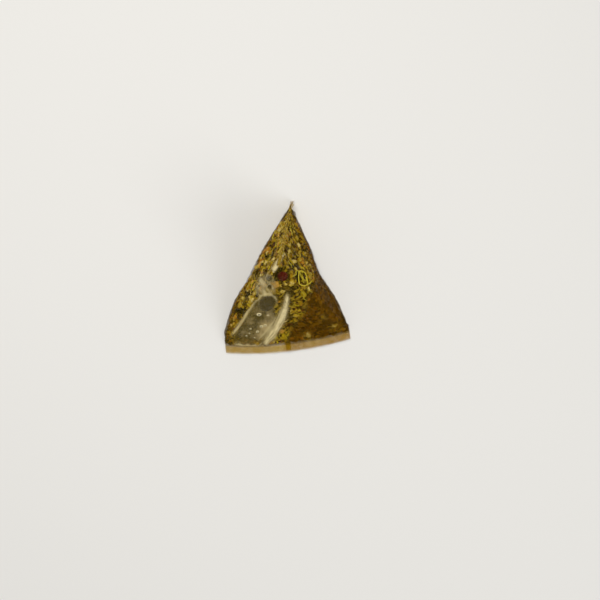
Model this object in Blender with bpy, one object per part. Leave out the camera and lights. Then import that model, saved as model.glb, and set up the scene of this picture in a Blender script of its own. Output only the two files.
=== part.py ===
# Pyramid tea bag: a tube of fine mesh, sealed flat across at the front and upright at the back,
# filled with a cut herb blend. It rests on one face. Metres, +Z up, origin under the middle of the bag.
import math

import bmesh
import bpy
from mathutils import Matrix, Vector, noise

# The mesh tube and the lengths of the bag's sides
SEAL_LENGTH = 0.050
LEFT_EDGE = 0.061
RIGHT_EDGE = 0.055
APEX_EDGE = 0.058
SEAL_TURN = math.radians(6.5)
WALL = 0.0003
FIN_WIDTH = 0.003
FIN_LEAN = math.radians(20)
SLIT = 0.00006
LAP_WIDTH = 0.004

# The mesh's gaps, as the fabric is cut flat
GAPS_AROUND = 14
GAPS_ALONG = 8
RIB_WIDTH = 0.0022
# Where the tube creases into a pyramid, as shares round it at the front seal and at the back seal
CREASES = ((0.0, 0.25), (0.5, 0.25), (0.5, 0.75), (0.0, -0.25))

# How the filled tube rounds, bows and settles on its base
SQUARENESS_SEALED = 36.0
SQUARENESS_OPEN = 4.2
SWELL_SHARE = 0.05
BOW_LEFT = 0.0042
BOW_RIGHT = 0.0004
BOW_FRONT = 0.0022
SETTLE = 0.0009
BOW_LEFT_SKEW = 0.66
BOW_FRONT_FADE = 6

# The blend inside
CLEARANCE = 0.0003
CURVE_ROOM = 0.00025
THICKEST_CUT = 0.0017
CRUMB = 0.0006
CRUMB_SIZE = 0.0026
POCKET_DEPTH = 0.0045
POCKET_ROUND_SHARE = 0.055
POCKET_PLACE_SHARE = 0.34
POCKET_REACH_SHARE = 0.17
RELIEF_SHARE = 0.6
BED_SHARE = 0.72
BED_END_SHARE = 0.05
BED_AROUND = 56
BED_ALONG = 26

ROSEHIP_WIDTH = 0.0042
ROSEHIP_LENGTH = 0.0060
ROSEHIP_HEIGHT = 0.0013
PEEL_WIDTH = 0.0035
PEEL_THICKNESS = 0.0012
LEAF_LENGTH = 0.0056
LEAF_WIDTH = 0.0034
LEAF_THICKNESS = 0.0004
PETAL_LENGTH = 0.0054
PETAL_WIDTH = 0.0020
PETAL_THICKNESS = 0.0004
STEM_LENGTH = 0.0070
STEM_WIDTH = 0.0010
SEED_LENGTH = 0.0024
SEED_WIDTH = 0.0015
ROOT_WIDTH = 0.0026
ROOT_THICKNESS = 0.0012
FLOWER_WIDTH = 0.0040
FLOWER_HEIGHT = 0.0015
CURL_WIDTH = 0.0056
CURL_THICKNESS = 0.0007

COLOURS = {
    "mesh": (0.80, 0.74, 0.52, 0.35),
    "bed": (0.23, 0.20, 0.08, 1.0),
    "leaf": (0.20, 0.22, 0.07, 1.0),
    "root": (0.72, 0.62, 0.36, 1.0),
    "petal": (0.80, 0.62, 0.08, 1.0),
    "stem": (0.45, 0.38, 0.16, 1.0),
    "seed": (0.10, 0.06, 0.03, 1.0),
    "rosehip": (0.30, 0.02, 0.02, 1.0),
    "peel": (0.72, 0.40, 0.10, 1.0),
    "flower": (0.76, 0.62, 0.14, 1.0),
}

# Each side of the bag, with its cuts: kind, place across from -1 to 1, place along from 0 to 1, turn
CUTS = {
    "front": [
        ("leaf", -0.82, 0.14, 84),
        ("peel", -0.14, 0.21, 35),
        ("seed", 0.09, 0.20, 80),
        ("petal", 0.31, 0.18, 40),
        ("petal", 0.58, 0.16, -76),
        ("leaf", 0.82, 0.15, 76),
        ("root", -0.24, 0.33, 60),
        ("leaf", 0.10, 0.31, 20),
        ("root", 0.42, 0.29, 15),
        ("seed", 0.72, 0.28, 60),
        ("stem", 0.14, 0.44, 50),
        ("leaf", 0.62, 0.42, -40),
        ("flower", 0.14, 0.57, 0),
        ("leaf", -0.28, 0.54, 70),
        ("petal", 0.82, 0.55, 0),
        ("leaf", 0.26, 0.68, 30),
        ("peel", -0.46, 0.735, 20),
        ("rosehip", 0.36, 0.825, 0),
    ],
    "right": [
        ("leaf", -0.72, 0.85, 10),
        ("petal", -0.40, 0.853, 24),
        ("leaf", 0.00, 0.86, 5),
        ("petal", 0.40, 0.848, -24),
        ("seed", -0.56, 0.74, 30),
        ("root", -0.18, 0.76, 25),
        ("stem", 0.16, 0.75, 12),
        ("curl", 0.44, 0.67, 0),
        ("leaf", -0.34, 0.62, 60),
        ("petal", 0.06, 0.60, -50),
        ("root", -0.58, 0.50, 40),
        ("leaf", 0.42, 0.50, 20),
        ("seed", 0.00, 0.46, 20),
        ("leaf", -0.20, 0.35, -70),
        ("rosehip", -0.02, 0.23, 0),
    ],
    "left": [
        ("root", -0.76, 0.79, 35),
        ("petal", -0.42, 0.853, 20),
        ("leaf", 0.06, 0.86, -6),
        ("petal", 0.46, 0.848, 20),
        ("seed", -0.50, 0.75, 70),
        ("stem", -0.16, 0.74, -25),
        ("root", 0.20, 0.74, 50),
        ("leaf", 0.54, 0.72, 30),
        ("peel", -0.58, 0.62, 15),
        ("leaf", -0.08, 0.60, 65),
        ("root", 0.50, 0.53, 20),
        ("petal", -0.40, 0.47, 30),
        ("root", -0.26, 0.32, 10),
        ("leaf", 0.12, 0.40, -20),
    ],
    "base": [
        ("leaf", -0.62, 0.20, 75),
        ("root", 0.24, 0.20, 40),
        ("leaf", 0.64, 0.22, -70),
        ("petal", -0.40, 0.38, 15),
        ("seed", 0.06, 0.38, 0),
        ("leaf", -0.30, 0.56, 20),
    ],
}


def clear_scene():
    for obj in list(bpy.data.objects):
        bpy.data.objects.remove(obj, do_unlink=True)


def finish_of(name):
    """The material of this name, made once and then shared."""
    material = bpy.data.materials.get(name)
    if material:
        return material
    material = bpy.data.materials.new(name)
    material.use_nodes = True
    shader = material.node_tree.nodes["Principled BSDF"]
    red, green, blue, alpha = COLOURS[name]
    shader.inputs["Base Color"].default_value = (red, green, blue, 1.0)
    shader.inputs["Alpha"].default_value = alpha
    shader.inputs["Roughness"].default_value = 0.4
    return material


def new_node(name, bm, finish, parent=None, place=None):
    bmesh.ops.recalc_face_normals(bm, faces=bm.faces)
    mesh = bpy.data.meshes.new(name)
    bm.to_mesh(mesh)
    bm.free()
    mesh.shade_smooth()
    mesh.set_sharp_from_angle(angle=math.radians(35))
    mesh.materials.append(finish_of(finish))
    obj = bpy.data.objects.new(name, mesh)
    bpy.context.scene.collection.objects.link(obj)
    obj.parent = parent
    if place:
        obj.matrix_world = place
    return obj


def corners():
    """The front seal's left and right ends, the far corner on the table, and the apex."""
    left = Vector((0.0, 0.0, 0.0))
    across = Vector((math.cos(SEAL_TURN), math.sin(SEAL_TURN), 0.0))
    away = Vector((-across.y, across.x, 0.0))
    right = left + SEAL_LENGTH * across
    foot = (LEFT_EDGE**2 - RIGHT_EDGE**2 + SEAL_LENGTH**2) / (2 * SEAL_LENGTH)
    far = left + foot * across + math.sqrt(LEFT_EDGE**2 - foot**2) * away
    # The apex is as far from both ends of the front seal, and a seal's length from the far corner
    x = SEAL_LENGTH / 2
    reach = far - left
    far_x, far_y = reach.dot(across), reach.dot(away)
    gap = APEX_EDGE**2 - SEAL_LENGTH**2 + far_x**2 + far_y**2 - 2 * x * far_x
    y = gap / (2 * far_y)
    z = math.sqrt(APEX_EDGE**2 - x**2 - y**2)
    apex = left + x * across + y * away + Vector((0.0, 0.0, z))
    middle = (left + right + far) / 3
    return [point - middle for point in (left, right, far, apex)]


LEFT, RIGHT, FAR, APEX = corners()
FRONT_MIDDLE = (LEFT + RIGHT) / 2
BACK_MIDDLE = (FAR + APEX) / 2
ACROSS = (RIGHT - LEFT).normalized()
UPRIGHT = (APEX - FAR).normalized()
OUT_FRONT = Vector((ACROSS.y, -ACROSS.x, 0.0))
OUT_LEFT = Vector(((LEFT - FAR).y, (FAR - LEFT).x, 0.0)).normalized()
OUT_RIGHT = Vector(((FAR - RIGHT).y, (RIGHT - FAR).x, 0.0)).normalized()
HALF_SEAL = SEAL_LENGTH / 2
# How much a wall leans from the direction that its depth is measured in
LEAN = APEX.z / SEAL_LENGTH
THIN = WALL / LEAN + SLIT
TUBE_LENGTH = math.sqrt(APEX_EDGE**2 - HALF_SEAL**2)
BED_DEPTH = WALL + 2 * CLEARANCE + THICKEST_CUT


def out_back():
    """The way that the back seal's fin stands out of the bag, leaning to one side."""
    straight = (BACK_MIDDLE - FRONT_MIDDLE).normalized()
    straight -= straight.dot(UPRIGHT) * UPRIGHT
    side = UPRIGHT.cross(straight).normalized()
    return math.cos(FIN_LEAN) * straight.normalized() - math.sin(FIN_LEAN) * side


OUT_BACK = out_back()


def section(along):
    """Half sizes, across and upright, of the tube's section at this share of the way to the back seal."""
    along = min(max(along, 0.0), 1.0)
    wide = THIN + (HALF_SEAL - THIN) * (1 - along)
    tall = THIN + (HALF_SEAL - THIN) * along
    return wide, tall


def walk_round(share, wide, tall):
    """A point on a box's outline, this share of the way round from the middle of its left side."""
    walk = (share % 1.0) * 4 * (wide + tall)
    for corner, step, length in (
        ((-wide, 0.0), (0, 1), tall),
        ((-wide, tall), (1, 0), 2 * wide),
        ((wide, tall), (0, -1), 2 * tall),
        ((wide, -tall), (-1, 0), 2 * wide),
        ((-wide, -tall), (0, 1), tall),
    ):
        if walk <= length:
            return corner[0] + step[0] * walk, corner[1] + step[1] * walk
        walk -= length
    return -wide, 0.0


def fold(share, along, depth=0.0):
    """Where the fabric's point at this share round and along the tube lies, this deep in the bag."""
    wide, tall = section(along)
    inside = min(max(along, 0.0), 1.0)
    opened = math.sin(math.pi * inside)
    x, y = walk_round(share, wide, tall)
    x, y = x / wide, y / tall
    square = SQUARENESS_SEALED + (SQUARENESS_OPEN - SQUARENESS_SEALED) * opened
    rounding = (abs(x) ** square + abs(y) ** square) ** (-1 / square)
    x, y = x * rounding, y * rounding
    swell = 1 + SWELL_SHARE * opened
    inset = depth / LEAN
    wide_in = max(wide * swell - inset, 0.0)
    tall_in = max(tall * swell - inset, 0.0)
    centre = FRONT_MIDDLE.lerp(BACK_MIDDLE, inside)
    point = centre + x * wide_in * ACROSS + y * tall_in * UPRIGHT
    low_left = (1 - x) * (1 - y) / 4
    low_right = (1 + x) * (1 - y) / 4
    point += BOW_LEFT * low_left * math.sin(math.pi * inside**BOW_LEFT_SKEW) * OUT_LEFT
    point += BOW_RIGHT * low_right * opened * OUT_RIGHT
    point += BOW_FRONT * (1 - x * x) * (1 - inside) ** BOW_FRONT_FADE * OUT_FRONT
    # The front seal's lower face lies on the table, in one plane with the base
    point.z += THIN * LEAN * (1 - inside) - SETTLE * opened
    point.z = max(point.z, depth)
    if along < 0:
        point += -along * TUBE_LENGTH * OUT_FRONT
    if along > 1:
        point += (along - 1) * TUBE_LENGTH * OUT_BACK
    return point


def share_of(side, across, along):
    """The share round the tube of a place across one of its four sides."""
    wide, tall = section(along)
    walk = {
        "front": tall + (1 + across) * wide,
        "right": tall + 2 * wide + (1 - across) * tall,
        "base": 3 * tall + 2 * wide + (1 - across) * wide,
        "left": across * tall,
    }[side]
    return walk / (4 * (wide + tall))


def bed_depth(along):
    """How far under the fabric the blend's face lies: less where the tube closes to a seal."""
    return min(BED_DEPTH, BED_SHARE * LEAN * min(section(along)))


def seat(side, across, along, turn, top, low):
    """A place just under the fabric for a cut that reaches from low to top, with Z out of the bag."""

    def depth_at(near):
        return min(WALL + CLEARANCE + CURVE_ROOM + top, bed_depth(near) - CLEARANCE + low)

    step = 0.01
    share = share_of(side, across, along)
    origin = fold(share, along, depth_at(along))
    ahead, behind = (
        fold(share_of(side, across, near), near, depth_at(near)) for near in (along + step, along - step)
    )
    ahead = ahead - behind
    around = fold(share + step, along, depth_at(along)) - fold(share - step, along, depth_at(along))
    out = around.cross(ahead).normalized()
    if out.dot(origin - (FRONT_MIDDLE + BACK_MIDDLE) / 2) < 0:
        out = -out
    ahead = (ahead - ahead.dot(out) * out).normalized()
    frame = Matrix((ahead.cross(out), ahead, out)).transposed().to_4x4()
    return Matrix.Translation(origin) @ frame @ Matrix.Rotation(math.radians(turn), 4, "Z")


def edges_at(bm, test):
    return [edge for edge in bm.edges if edge.is_boundary and all(test(v.co) for v in edge.verts)]


def widen(bm, test, offset):
    """Adds a strip to a flat sheet along the boundary edges that pass the test."""
    made = bmesh.ops.extrude_edge_only(bm, edges=edges_at(bm, test))["geom"]
    verts = [item for item in made if isinstance(item, bmesh.types.BMVert)]
    bmesh.ops.translate(bm, verts=verts, vec=offset)


def cut_across(bm, point, normal):
    """Adds a line of vertices where this plane meets the shape."""
    geom = bm.verts[:] + bm.edges[:] + bm.faces[:]
    bmesh.ops.bisect_plane(bm, geom=geom, dist=SLIT / 10, plane_co=point, plane_no=normal)


def flat_sheet():
    """The fabric as cut, drawn flat: X round the tube, Y along it, with its gaps and its strips."""
    girth = 2 * SEAL_LENGTH
    half_x, half_y = (girth - LAP_WIDTH) / 2, TUBE_LENGTH / 2
    bm = bmesh.new()
    bmesh.ops.create_grid(bm, x_segments=GAPS_AROUND, y_segments=GAPS_ALONG, size=0.5)
    bmesh.ops.scale(bm, vec=(2 * half_x, 2 * half_y, 1.0), verts=bm.verts)
    gaps = list(bm.faces)
    bmesh.ops.inset_individual(bm, faces=gaps, thickness=RIB_WIDTH / 2, use_even_offset=True)
    bmesh.ops.delete(bm, geom=gaps, context="FACES")
    tiny = WALL / 10
    for way in (-1, 1):
        edge = way * half_x
        widen(bm, lambda co, edge=edge: abs(co.x - edge) < tiny, (way * LAP_WIDTH / 2, 0.0, 0.0))
    for way in (-1, 1):
        edge = way * half_y
        widen(bm, lambda co, edge=edge: abs(co.y - edge) < tiny, (0.0, way * FIN_WIDTH, 0.0))
    for start, end in CREASES:
        run = Vector(((end - start) * girth, 2 * half_y, 0.0))
        cut_across(bm, ((start - 0.25) * girth, -half_y, 0.0), (run.y, -run.x, 0.0))
    for row in range(GAPS_ALONG):
        cut_across(bm, (0.0, half_y * ((2 * row + 1) / GAPS_ALONG - 1), 0.0), (0.0, 1.0, 0.0))
    return bm, girth / 2, half_y


def cap(bm, verts):
    """Closes the ring that these vertices' boundary edges make."""
    ring = set(verts)
    edges = [edge for edge in bm.edges if edge.is_boundary and set(edge.verts) <= ring]
    bmesh.ops.contextual_create(bm, geom=edges)


def filter_bag(parent):
    """The whole bag from one sheet: an outer and an inner face joined round each gap, and solid fins."""
    bm, half_x, half_y = flat_sheet()
    outer = list(bm.verts)
    made = bmesh.ops.extrude_face_region(bm, geom=list(bm.faces), use_keep_orig=True)["geom"]
    inner = [item for item in made if isinstance(item, bmesh.types.BMVert)]
    bmesh.ops.translate(bm, verts=inner, vec=(0.0, 0.0, -WALL))
    tiny = WALL / 10
    lapped = [f for f in bm.faces if all(abs(abs(v.co.x) - half_x) < tiny for v in f.verts)]
    bmesh.ops.delete(bm, geom=lapped, context="FACES_ONLY")
    sealed = [v for v in inner if abs(v.co.y) > half_y + tiny]
    bmesh.ops.delete(bm, geom=sealed, context="VERTS")
    flat = {v: v.co.copy() for v in bm.verts}
    seals = {
        (way, face): [v for v in side if v.is_valid and abs(v.co.y - way * reach) < tiny]
        for way in (-1, 1)
        for face, side, reach in (("out", outer, half_y + FIN_WIDTH), ("in", inner, half_y))
    }
    for vert, co in flat.items():
        depth = -co.z
        if depth > tiny and abs(co.x) > half_x - tiny:
            depth *= 2
        share = 0.25 + co.x / (2 * half_x)
        vert.co = fold(share, (co.y + half_y) / (2 * half_y), depth)
    merged = bmesh.ops.find_doubles(bm, verts=bm.verts, dist=SLIT / 10)["targetmap"]
    bmesh.ops.weld_verts(bm, targetmap=merged)
    for verts in seals.values():
        cap(bm, [v for v in verts if v.is_valid])
    return new_node("filter_bag", bm, "mesh", parent)


def crumb(point):
    """Depth of the chopped leaf's relief at a point, from none to CRUMB."""
    cells = noise.voronoi(point / CRUMB_SIZE, distance_metric="DISTANCE")[0]
    return CRUMB * min(1.0, cells[0] * 1.3)


def pocket(share, along):
    """Depth of the air pocket under the ridge from the left end of the front seal to the apex."""
    wide, tall = section(along)
    ridge = tall / (4 * (wide + tall))
    off = (share - ridge + 0.5) % 1.0 - 0.5
    across = math.exp(-((off / POCKET_ROUND_SHARE) ** 2))
    lengthwise = math.exp(-(((along - POCKET_PLACE_SHARE) / POCKET_REACH_SHARE) ** 2))
    return POCKET_DEPTH * across * lengthwise


def herb_bed(parent):
    """The fine cut that fills the bag, as one crumbly mass with a hollow where air is trapped."""
    bm = bmesh.new()
    bmesh.ops.create_grid(bm, x_segments=BED_AROUND, y_segments=BED_ALONG, size=0.5)
    ends = {way: [v for v in bm.verts if abs(v.co.y - way) < 0.01] for way in (-0.5, 0.5)}
    for vert in bm.verts:
        share = vert.co.x
        along = BED_END_SHARE + (1 - 2 * BED_END_SHARE) * (vert.co.y + 0.5)
        depth = bed_depth(along)
        room = LEAN * min(section(along)) - depth
        relief = crumb(fold(share, along, depth)) + pocket(share % 1.0, along)
        vert.co = fold(share, along, depth + min(relief, RELIEF_SHARE * room))
    bmesh.ops.remove_doubles(bm, verts=bm.verts, dist=SLIT / 10)
    for verts in ends.values():
        cap(bm, [v for v in verts if v.is_valid])
    bmesh.ops.triangulate(bm, faces=bm.faces)
    return new_node("herb_bed", bm, "bed", parent)


def curl_along(bm, radius):
    """Bends a flat shape that lies along Y round an axis under it, so that its ends dip."""
    for vert in bm.verts:
        angle = vert.co.y / radius
        reach = radius + vert.co.z
        vert.co.y = reach * math.sin(angle)
        vert.co.z = reach * math.cos(angle) - radius


def plate(outline, thickness):
    """A thin slab of this outline, its middle plane on the origin."""
    bm = bmesh.new()
    face = bm.faces.new([bm.verts.new((x, y, -thickness / 2)) for x, y in outline])
    made = bmesh.ops.extrude_face_region(bm, geom=[face], use_keep_orig=True)["geom"]
    verts = [item for item in made if isinstance(item, bmesh.types.BMVert)]
    bmesh.ops.translate(bm, verts=verts, vec=(0.0, 0.0, thickness))
    return bm


def leaf_cut(seed):
    """A torn flake of leaf, gently curled."""
    outline = []
    points = 10
    for i in range(points):
        angle = 2 * math.pi * i / points
        torn = 0.86 + 0.14 * noise.noise(Vector((3.1 * seed, 2.3 * i, 0.7)))
        outline.append((LEAF_WIDTH / 2 * torn * math.cos(angle), LEAF_LENGTH / 2 * torn * math.sin(angle)))
    bm = plate(outline, LEAF_THICKNESS)
    cut_across(bm, (0, 0, 0), (0, 1, 0))
    curl_along(bm, 3 * LEAF_LENGTH)
    return bm, "leaf"


def petal(seed):
    """A ray floret: a narrow strap with a notched tip, curled along its length."""
    half, tip = PETAL_WIDTH / 2, PETAL_LENGTH / 2
    outline = [(-half * 0.5, -tip), (half * 0.5, -tip), (half, 0.0), (half * 0.8, tip * 0.9)]
    outline += [(half * 0.3, tip), (0.0, tip * 0.86), (-half * 0.3, tip)]
    outline += [(-half * 0.8, tip * 0.9), (-half, 0.0)]
    bm = plate(outline, PETAL_THICKNESS)
    for share in (-0.5, 0.5):
        cut_across(bm, (0, share * tip, 0), (0, 1, 0))
    curl_along(bm, (1.4 + 0.3 * (seed % 3)) * PETAL_LENGTH)
    return bm, "petal"


def stem_cut(seed):
    """A short length of stalk, a little bent, its ends chopped."""
    bm = bmesh.new()
    bmesh.ops.create_cone(
        bm, cap_ends=True, segments=8, radius1=STEM_WIDTH / 2, radius2=STEM_WIDTH * 0.42, depth=STEM_LENGTH,
        matrix=Matrix.Rotation(math.radians(90), 4, "X"),
    )
    for share in (-0.25, 0.0, 0.25):
        cut_across(bm, (0, share * STEM_LENGTH, 0), (0, 1, 0))
    curl_along(bm, 4 * STEM_LENGTH)
    return bm, "stem"


def seed_grain(seed):
    """A pointed oval grain."""
    bm = bmesh.new()
    bmesh.ops.create_uvsphere(bm, u_segments=10, v_segments=7, radius=0.5)
    bmesh.ops.rotate(bm, verts=bm.verts, matrix=Matrix.Rotation(math.radians(90), 3, "X"))
    for vert in bm.verts:
        taper = 1 - 0.25 * vert.co.y
        vert.co.x *= taper
        vert.co.z *= taper
    bmesh.ops.scale(bm, verts=bm.verts, vec=(SEED_WIDTH, SEED_LENGTH, SEED_WIDTH))
    return bm, "seed"


def chip(width, thickness, seed):
    """A diced chip with knocked-off edges and slightly uneven sides."""
    bm = bmesh.new()
    bmesh.ops.create_cube(bm, size=1.0)
    bmesh.ops.scale(bm, verts=bm.verts, vec=(width, width * 0.86, thickness))
    for i, vert in enumerate(bm.verts):
        vert.co.x *= 1 + 0.12 * noise.noise(Vector((seed, i, 0.3)))
        vert.co.y *= 1 + 0.12 * noise.noise(Vector((seed, 0.3, i)))
    bmesh.ops.bevel(
        bm, geom=bm.edges[:], offset=thickness * 0.2, offset_type="OFFSET", segments=1, profile=0.5,
        affect="EDGES", material=-1,
    )
    return bm


def root_cut(seed):
    return chip(ROOT_WIDTH, ROOT_THICKNESS, seed), "root"


def peel_cut(seed):
    """A square of citrus peel, domed over as it dries."""
    bm = chip(PEEL_WIDTH, PEEL_THICKNESS, seed + 7)
    cut_across(bm, (0, 0, 0), (0, 1, 0))
    curl_along(bm, 2.5 * PEEL_WIDTH)
    return bm, "peel"


def rosehip_shell(seed):
    """A broken half of a rose hip: a thick cup, open downwards."""
    bm = bmesh.new()
    radius = ROSEHIP_WIDTH / 2
    bmesh.ops.create_uvsphere(bm, u_segments=14, v_segments=10, radius=radius)
    geom = bm.verts[:] + bm.edges[:] + bm.faces[:]
    bmesh.ops.bisect_plane(bm, geom=geom, plane_co=(0, 0, 0), plane_no=(0, 0, 1), clear_inner=True)
    rim = [edge for edge in bm.edges if edge.is_boundary]
    made = bmesh.ops.extrude_edge_only(bm, edges=rim)["geom"]
    ring = [item for item in made if isinstance(item, bmesh.types.BMVert)]
    bmesh.ops.scale(bm, verts=ring, vec=(0.62, 0.62, 1.0))
    bottom = bmesh.ops.contextual_create(bm, geom=[e for e in bm.edges if e.is_boundary])["faces"]
    bmesh.ops.recalc_face_normals(bm, faces=bm.faces)
    bmesh.ops.inset_individual(bm, faces=bottom, thickness=radius * 0.18, depth=-radius * 0.45)
    bmesh.ops.scale(bm, verts=bm.verts, vec=(1.0, ROSEHIP_LENGTH / ROSEHIP_WIDTH, ROSEHIP_HEIGHT / radius))
    return bm, "rosehip"


def flower_head(seed):
    """The domed heart of a small daisy-like flower on its flat collar."""
    bm = bmesh.new()
    rings = ((0.50, 0.0), (0.50, 0.18), (0.36, 0.26), (0.33, 0.5), (0.24, 0.82), (0.10, 1.0))
    bmesh.ops.create_circle(bm, cap_ends=True, segments=12, radius=rings[0][0] * FLOWER_WIDTH)
    edges = list(bm.edges)
    for (before, low), (after, high) in zip(rings, rings[1:]):
        made = bmesh.ops.extrude_edge_only(bm, edges=edges)["geom"]
        verts = [item for item in made if isinstance(item, bmesh.types.BMVert)]
        top = set(verts)
        edges = [item for item in made if isinstance(item, bmesh.types.BMEdge) and set(item.verts) <= top]
        bmesh.ops.scale(bm, verts=verts, vec=(after / before, after / before, 1.0))
        bmesh.ops.translate(bm, verts=verts, vec=(0.0, 0.0, (high - low) * FLOWER_HEIGHT))
    bmesh.ops.contextual_create(bm, geom=edges)
    return bm, "flower"


def petal_curl(seed):
    """A thread-like floret dried into an open ring."""
    bm = bmesh.new()
    radius = CURL_THICKNESS / 2
    ring = CURL_WIDTH / 2 - radius
    bmesh.ops.create_circle(
        bm, cap_ends=True, segments=7, radius=radius,
        matrix=Matrix.Translation((ring, 0.0, 0.0)) @ Matrix.Rotation(math.radians(90), 4, "X"),
    )
    start = list(bm.faces)
    bmesh.ops.spin(
        bm, geom=start + bm.edges[:] + bm.verts[:], cent=(0, 0, 0), axis=(0, 0, 1), angle=math.radians(290),
        steps=14, use_duplicate=False,
    )
    bmesh.ops.scale(bm, verts=bm.verts, vec=(0.78, 1.0, 1.0))
    return bm, "petal"


MAKERS = {
    "leaf": ("leaf_cut", leaf_cut),
    "root": ("root_cut", root_cut),
    "petal": ("petal", petal),
    "stem": ("stem_cut", stem_cut),
    "seed": ("seed", seed_grain),
    "rosehip": ("rosehip_shell", rosehip_shell),
    "peel": ("peel_cut", peel_cut),
    "flower": ("flower_head", flower_head),
    "curl": ("petal_curl", petal_curl),
}


def blend_cuts(parent):
    """The larger cuts, which lie on the bed against the fabric."""
    counts = {}
    for side, cuts in CUTS.items():
        for kind, across, along, turn in cuts:
            counts[kind] = counts.get(kind, 0) + 1
            name, maker = MAKERS[kind]
            bm, finish = maker(counts[kind])
            heights = [vert.co.z for vert in bm.verts]
            place = seat(side, across, along, turn, max(heights), min(heights))
            new_node(f"{name}_{counts[kind]}", bm, finish, parent, place)


def centre_on_origin(carrier):
    """Moves the bag so that the middle of its outline is over the origin."""
    bpy.context.view_layer.update()
    bag = bpy.data.objects["filter_bag"]
    points = [bag.matrix_world @ v.co for v in bag.data.vertices]
    for axis in (0, 1):
        values = [point[axis] for point in points]
        carrier.location[axis] -= (min(values) + max(values)) / 2
    carrier.location.z -= min(point.z for point in points)


def main():
    clear_scene()
    carrier = bpy.data.objects.new("tea_bag", None)
    bpy.context.scene.collection.objects.link(carrier)
    filter_bag(carrier)
    herb_bed(carrier)
    blend_cuts(carrier)
    centre_on_origin(carrier)


main()
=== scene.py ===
import math
import random

import bmesh
import bpy
from mathutils import Matrix, Vector, noise
from mathutils.bvhtree import BVHTree
from mathutils.kdtree import KDTree


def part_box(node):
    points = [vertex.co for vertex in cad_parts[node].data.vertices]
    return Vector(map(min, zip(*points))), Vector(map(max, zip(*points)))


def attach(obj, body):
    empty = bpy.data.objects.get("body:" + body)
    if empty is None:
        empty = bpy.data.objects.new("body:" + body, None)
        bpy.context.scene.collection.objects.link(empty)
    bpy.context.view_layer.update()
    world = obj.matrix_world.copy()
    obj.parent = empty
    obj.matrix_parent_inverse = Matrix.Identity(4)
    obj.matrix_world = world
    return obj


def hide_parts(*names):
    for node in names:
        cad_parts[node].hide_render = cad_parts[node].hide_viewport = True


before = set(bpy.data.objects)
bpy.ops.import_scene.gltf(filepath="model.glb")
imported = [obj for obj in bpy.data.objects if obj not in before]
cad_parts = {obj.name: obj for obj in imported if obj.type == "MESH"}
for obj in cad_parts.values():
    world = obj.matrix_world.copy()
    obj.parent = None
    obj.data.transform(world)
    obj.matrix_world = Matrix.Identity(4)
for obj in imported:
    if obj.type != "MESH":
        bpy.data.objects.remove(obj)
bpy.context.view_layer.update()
scene = bpy.context.scene
print("frame loaded,", len(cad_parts), "nodes")

# The camera hangs straight over the bag, where the photograph was taken from
photo = {
    "eye": Vector((0.0052, -0.00906, 0.90)),
    "fieldAtTable": 0.240,
    "sensor": 36.0,
}
eye = photo["eye"]
cameraData = bpy.data.cameras.new("overheadCamera")
cameraData.sensor_width = photo["sensor"]
cameraData.lens = photo["sensor"] * eye.z / photo["fieldAtTable"]
cameraData.clip_start = 0.01
cameraData.clip_end = 10.0
camera = bpy.data.objects.new("overheadCamera", cameraData)
camera.location = eye
scene.collection.objects.link(camera)
scene.camera = camera


# The folded tube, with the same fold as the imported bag's
bag = {
    "sealLength": 0.050,
    "leftEdge": 0.061,
    "rightEdge": 0.055,
    "apexEdge": 0.058,
    "sealTurn": math.radians(6.5),
    "wall": 0.0003,
    "slit": 0.00006,
    "finWidth": 0.003,
    "finLean": math.radians(20),
    "lap": 0.004,
    "squareSealed": 36.0,
    "squareOpen": 4.2,
    "swell": 0.05,
    "bowLeft": 0.0042,
    "bowRight": 0.0004,
    "bowFront": 0.0022,
    "settle": 0.0009,
    "middle": Vector((0.000508, -0.006835, 0.0)),
}


def findCorners():
    across = Vector((math.cos(bag["sealTurn"]), math.sin(bag["sealTurn"]), 0.0))
    away = Vector((-across.y, across.x, 0.0))
    seal = bag["sealLength"]
    foot = (bag["leftEdge"] ** 2 - bag["rightEdge"] ** 2 + seal**2) / (2 * seal)
    reach = math.sqrt(bag["leftEdge"] ** 2 - foot**2)
    x = seal / 2
    y = (bag["apexEdge"] ** 2 - seal**2 + foot**2 + reach**2 - 2 * x * foot) / (2 * reach)
    z = math.sqrt(bag["apexEdge"] ** 2 - x**2 - y**2)
    left = Vector((0.0, 0.0, 0.0))
    right = seal * across
    far = foot * across + reach * away
    apex = x * across + y * away + Vector((0.0, 0.0, z))
    middle = (left + right + far) / 3
    return [point - middle + bag["middle"] for point in (left, right, far, apex)]


leftEnd, rightEnd, farCorner, apex = findCorners()
frontMiddle = (leftEnd + rightEnd) / 2
backMiddle = (farCorner + apex) / 2
heart = (frontMiddle + backMiddle) / 2
acrossWay = (rightEnd - leftEnd).normalized()
uprightWay = (apex - farCorner).normalized()
outFront = Vector((acrossWay.y, -acrossWay.x, 0.0))
outLeft = Vector(((leftEnd - farCorner).y, (farCorner - leftEnd).x, 0.0)).normalized()
outRight = Vector(((farCorner - rightEnd).y, (rightEnd - farCorner).x, 0.0)).normalized()
halfSeal = bag["sealLength"] / 2
lean = apex.z / bag["sealLength"]
thin = bag["wall"] / lean + bag["slit"]
tubeLength = math.sqrt(bag["apexEdge"] ** 2 - halfSeal**2)
girth = 2 * bag["sealLength"]
straightBack = (backMiddle - frontMiddle).normalized()
straightBack = (straightBack - straightBack.dot(uprightWay) * uprightWay).normalized()
finSide = uprightWay.cross(straightBack).normalized()
outBack = math.cos(bag["finLean"]) * straightBack - math.sin(bag["finLean"]) * finSide


def within(value, low=0.0, high=1.0):
    return min(max(value, low), high)


def cloud(x, y, z):
    return noise.noise(Vector((x, y, z)))


# Half the width and half the height of the tube's section, from the front seal to the back one
def sectionAt(along):
    along = within(along)
    return thin + (halfSeal - thin) * (1 - along), thin + (halfSeal - thin) * along


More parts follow.
